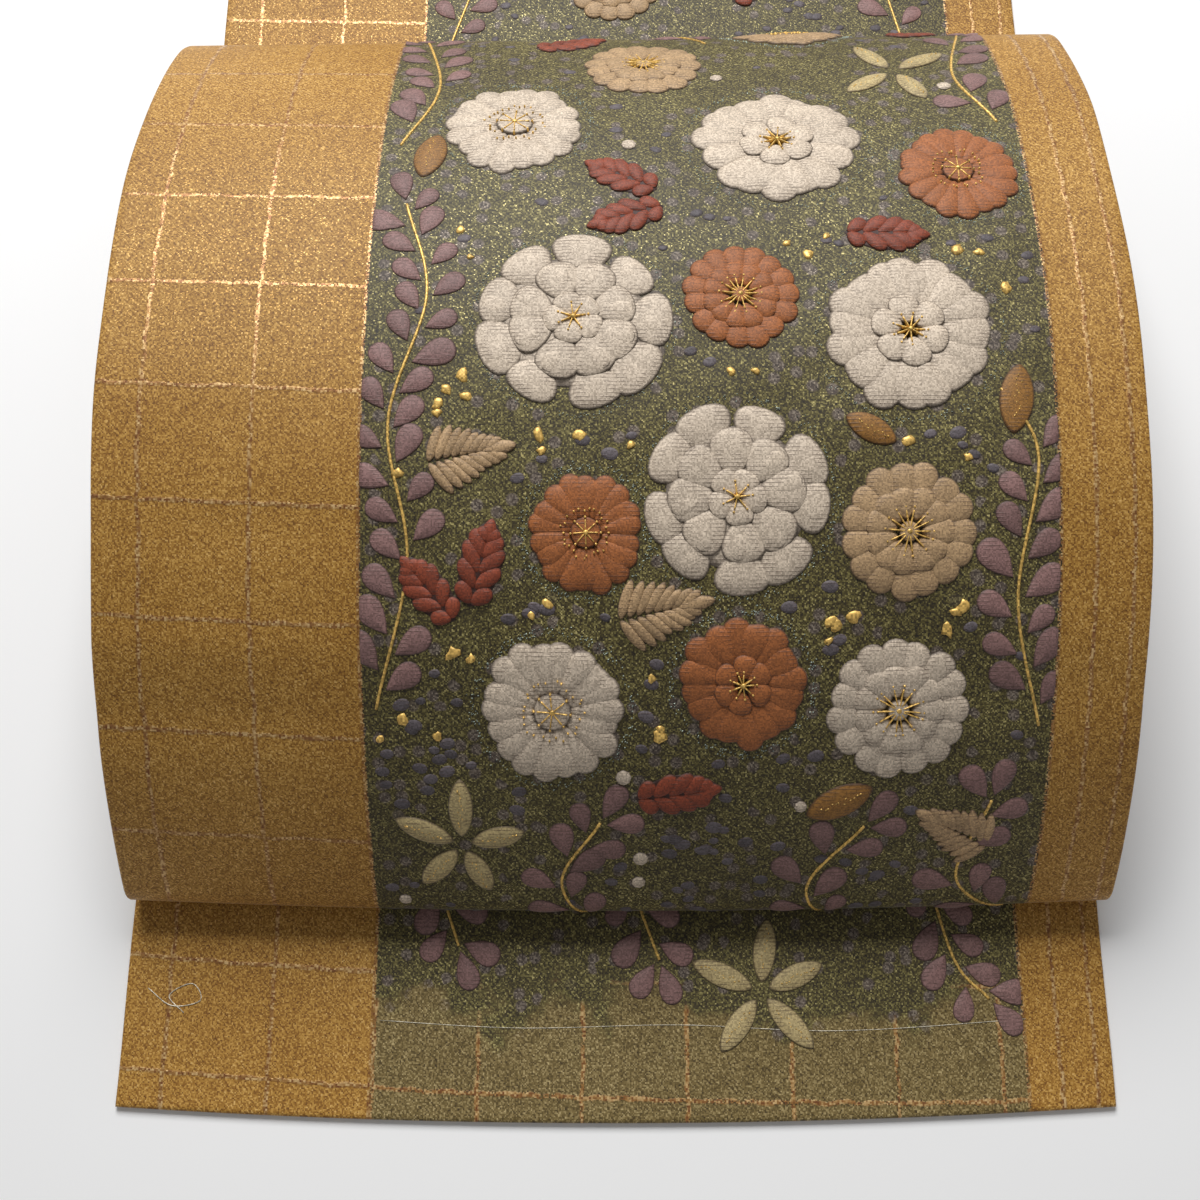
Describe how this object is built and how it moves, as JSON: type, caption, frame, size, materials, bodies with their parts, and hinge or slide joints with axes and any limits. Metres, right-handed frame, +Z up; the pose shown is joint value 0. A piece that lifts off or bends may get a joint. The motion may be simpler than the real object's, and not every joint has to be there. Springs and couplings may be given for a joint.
{
  "type": "obi sash",
  "caption": "Double-width woven obi sash laid out in drum form, with its end showing in front of an open arch of cloth and the rest folded flat behind.",
  "frame": {"origin": "centre of the footprint, on the surface that the sash lies on", "axes": "+Z up; X across the cloth, from selvedge to selvedge; the end of the sash points to -Y and the folded rest lies at +Y"},
  "size_m": [0.3124, 0.7644, 0.0925],
  "materials": {
    "gold_silk": "fine gold twill with a woven check of bright metallic thread",
    "plain_back": "plain gold reverse side, matt",
    "blossom_silk": "raised blossoms in white, beige and rust silk, ribbed",
    "leaf_silk": "raised leaves in red, ochre, mauve and pale green silk",
    "metal_thread": "bright gold-wrapped thread, in stems, specks and outlines",
    "loose_thread": "pale loose thread"
  },
  "bodies": {
    "root": {"tail": "gold_silk", "tuck": "plain_back", "drum": "gold_silk", "rear_run": "gold_silk", "folded_stack": "plain_back", "top_layer": "gold_silk"}
  },
  "joints": []
}
